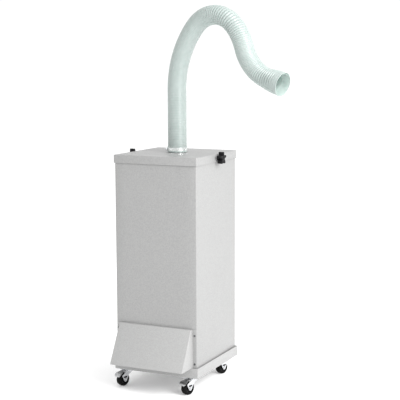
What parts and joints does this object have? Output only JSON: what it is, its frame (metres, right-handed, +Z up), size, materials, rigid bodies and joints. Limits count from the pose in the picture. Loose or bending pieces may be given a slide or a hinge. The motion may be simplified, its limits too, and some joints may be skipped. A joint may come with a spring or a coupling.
{
  "type": "solder fume extractor",
  "caption": "Floor-standing fume extractor: a tall sheet-metal filter cabinet on casters with a lift-off lid, an exhaust hood and a self-supporting corrugated intake hose.",
  "frame": {"origin": "on the floor under the middle of the cabinet, which is the centre of the four caster swivels", "axes": "+Z up, -Y towards the front where the exhaust hood is, +X to the right seen from the front; the hose reaches to the right"},
  "size_m": [0.6768, 0.4518, 1.4065],
  "materials": {
    "cabinet_paint": "light grey fine-textured powder coat",
    "bare_steel": "plain rolled steel",
    "zinc": "bright zinc plate",
    "hose_plastic": "mint-white flexible thermoplastic",
    "clamp_steel": "polished stainless band",
    "black_plastic": "black moulded plastic",
    "dark_gloss": "gloss black switch plastic",
    "wheel_rubber": "black rubber tread",
    "wheel_hub": "black moulded hub",
    "gasket_foam": "black closed-cell foam",
    "filter_medium": "white pleated filter paper in a card frame",
    "carbon_medium": "black carbon granules in a card frame",
    "prefilter_pad": "white polyester pad",
    "brass": "turned brass insert"
  },
  "bodies": {
    "cabinet": {"cabinet_wrap": "cabinet_paint", "rear_panel": "cabinet_paint", "base_tray": "cabinet_paint", "exhaust_hood": "cabinet_paint", "panel_screws": "zinc", "exhaust_grille": "bare_steel", "filter_rails": "bare_steel", "carbon_filter": "carbon_medium", "hepa_filter": "filter_medium", "pre_filter": "prefilter_pad", "fan_deck": "bare_steel", "fan_scroll": "bare_steel", "fan_motor": "black_plastic", "speed_controller": "black_plastic", "switch_housing": "dark_gloss", "power_inlet": "black_plastic", "knob_inserts": "brass", "caster_plates": "zinc", "caster_bolts": "zinc", "caster_nuts": "zinc"},
    "lid": {"lid": "cabinet_paint", "lid_gasket": "gasket_foam", "inlet_collar": "bare_steel"},
    "hose_base": {"hose_cuff": "hose_plastic", "hose_riser": "hose_plastic", "hose_bend_lower": "hose_plastic", "hose_clamp_band": "clamp_steel", "hose_clamp_screw": "zinc"},
    "hose_crown": {"hose_arch_rise": "hose_plastic", "hose_arch_crown": "hose_plastic", "hose_arch_fall": "hose_plastic", "hose_bend_upper": "hose_plastic"},
    "hose_end": {"hose_tail": "hose_plastic", "hose_mouth": "hose_plastic"},
    "impeller": {"fan_impeller": "bare_steel", "impeller_nut": "zinc"},
    "rocker": {"switch_rocker": "dark_gloss"},
    "speed_dial": {"speed_knob": "black_plastic"},
    "washer_left": {"knob_washer_left": "zinc"},
    "knob_left": {"star_knob_left": "black_plastic"},
    "washer_right": {"knob_washer_right": "zinc"},
    "knob_right": {"star_knob_right": "black_plastic"},
    "caster_front_left": {"fork_front_left": "zinc", "axle_front_left": "zinc"},
    "wheel_front_left": {"hub_front_left": "wheel_hub", "tyre_front_left": "wheel_rubber"},
    "brake_front_left": {"brake_front_left": "zinc"},
    "caster_front_right": {"fork_front_right": "zinc", "axle_front_right": "zinc"},
    "wheel_front_right": {"hub_front_right": "wheel_hub", "tyre_front_right": "wheel_rubber"},
    "brake_front_right": {"brake_front_right": "zinc"},
    "caster_rear_left": {"fork_rear_left": "zinc", "axle_rear_left": "zinc"},
    "wheel_rear_left": {"hub_rear_left": "wheel_hub", "tyre_rear_left": "wheel_rubber"},
    "caster_rear_right": {"fork_rear_right": "zinc", "axle_rear_right": "zinc"},
    "wheel_rear_right": {"hub_rear_right": "wheel_hub", "tyre_rear_right": "wheel_rubber"}
  },
  "joints": [
    {"name": "lid_lift", "type": "slide", "parent": "cabinet", "child": "lid", "axis": [0, 0, 1], "range_m": [0, 0.1]},
    {"name": "hose_swivel", "type": "hinge", "parent": "lid", "child": "hose_base", "pos_m": [0, 0.01, 0.868], "axis": [0, 0, 1], "range_deg": [-180, 180]},
    {"name": "hose_bend_low", "type": "hinge", "parent": "hose_base", "child": "hose_crown", "pos_m": [0.00037, 0.00991, 1.11799], "axis": [0.2419, 0.9703, 0], "range_deg": [-20, 20], "deforming": ["hose_bend_lower"]},
    {"name": "hose_bend_high", "type": "hinge", "parent": "hose_crown", "child": "hose_end", "pos_m": [0.30326, -0.06561, 1.2554], "axis": [0.2419, 0.9703, 0], "range_deg": [-25, 25], "deforming": ["hose_bend_upper"]},
    {"name": "impeller_spin", "type": "hinge", "parent": "cabinet", "child": "impeller", "pos_m": [0, 0, 0.18], "axis": [0, 0, 1], "continuous": true},
    {"name": "switch_rock", "type": "hinge", "parent": "cabinet", "child": "rocker", "pos_m": [0, 0.1722, 0.3], "axis": [1, 0, 0], "range_deg": [-10, 0]},
    {"name": "speed_turn", "type": "hinge", "parent": "cabinet", "child": "speed_dial", "pos_m": [0.07, 0.1815, 0.3], "axis": [0, 1, 0], "range_deg": [-135, 135]},
    {"name": "knob_left_travel", "type": "slide", "parent": "cabinet", "child": "washer_left", "axis": [-1, 0, 0], "range_m": [0, 0.00375]},
    {"name": "knob_left_turn", "type": "hinge", "parent": "washer_left", "child": "knob_left", "pos_m": [-0.18, 0, 0.853], "axis": [-1, 0, 0], "range_deg": [0, 1080]},
    {"name": "knob_right_travel", "type": "slide", "parent": "cabinet", "child": "washer_right", "axis": [1, 0, 0], "range_m": [0, 0.00375]},
    {"name": "knob_right_turn", "type": "hinge", "parent": "washer_right", "child": "knob_right", "pos_m": [0.18, 0, 0.853], "axis": [1, 0, 0], "range_deg": [0, 1080]},
    {"name": "swivel_front_left", "type": "hinge", "parent": "cabinet", "child": "caster_front_left", "pos_m": [-0.135, -0.15, 0.06], "axis": [0, 0, 1], "continuous": true},
    {"name": "roll_front_left", "type": "hinge", "parent": "caster_front_left", "child": "wheel_front_left", "pos_m": [-0.14281, -0.17269, 0.025], "axis": [0.9455, -0.3256, 0], "continuous": true},
    {"name": "brake_press_front_left", "type": "hinge", "parent": "caster_front_left", "child": "brake_front_left", "pos_m": [-0.14112, -0.16777, 0.05454], "axis": [0.9455, -0.3256, 0], "range_deg": [0, 6.5]},
    {"name": "swivel_front_right", "type": "hinge", "parent": "cabinet", "child": "caster_front_right", "pos_m": [0.135, -0.15, 0.06], "axis": [0, 0, 1], "continuous": true},
    {"name": "roll_front_right", "type": "hinge", "parent": "caster_front_right", "child": "wheel_front_right", "pos_m": [0.12719, -0.17269, 0.025], "axis": [0.9455, -0.3256, 0], "continuous": true},
    {"name": "brake_press_front_right", "type": "hinge", "parent": "caster_front_right", "child": "brake_front_right", "pos_m": [0.12888, -0.16777, 0.05454], "axis": [0.9455, -0.3256, 0], "range_deg": [0, 6.5]},
    {"name": "swivel_rear_left", "type": "hinge", "parent": "cabinet", "child": "caster_rear_left", "pos_m": [-0.135, 0.15, 0.06], "axis": [0, 0, 1], "continuous": true},
    {"name": "roll_rear_left", "type": "hinge", "parent": "caster_rear_left", "child": "wheel_rear_left", "pos_m": [-0.14281, 0.12731, 0.025], "axis": [0.9455, -0.3256, 0], "continuous": true},
    {"name": "swivel_rear_right", "type": "hinge", "parent": "cabinet", "child": "caster_rear_right", "pos_m": [0.135, 0.15, 0.06], "axis": [0, 0, 1], "continuous": true},
    {"name": "roll_rear_right", "type": "hinge", "parent": "caster_rear_right", "child": "wheel_rear_right", "pos_m": [0.12719, 0.12731, 0.025], "axis": [0.9455, -0.3256, 0], "continuous": true}
  ],
  "couplings": [
    {"joint": "knob_left_travel", "follows": "knob_left_turn", "m_per_rad": 0.00019894},
    {"joint": "knob_right_travel", "follows": "knob_right_turn", "m_per_rad": 0.00019894}
  ]
}
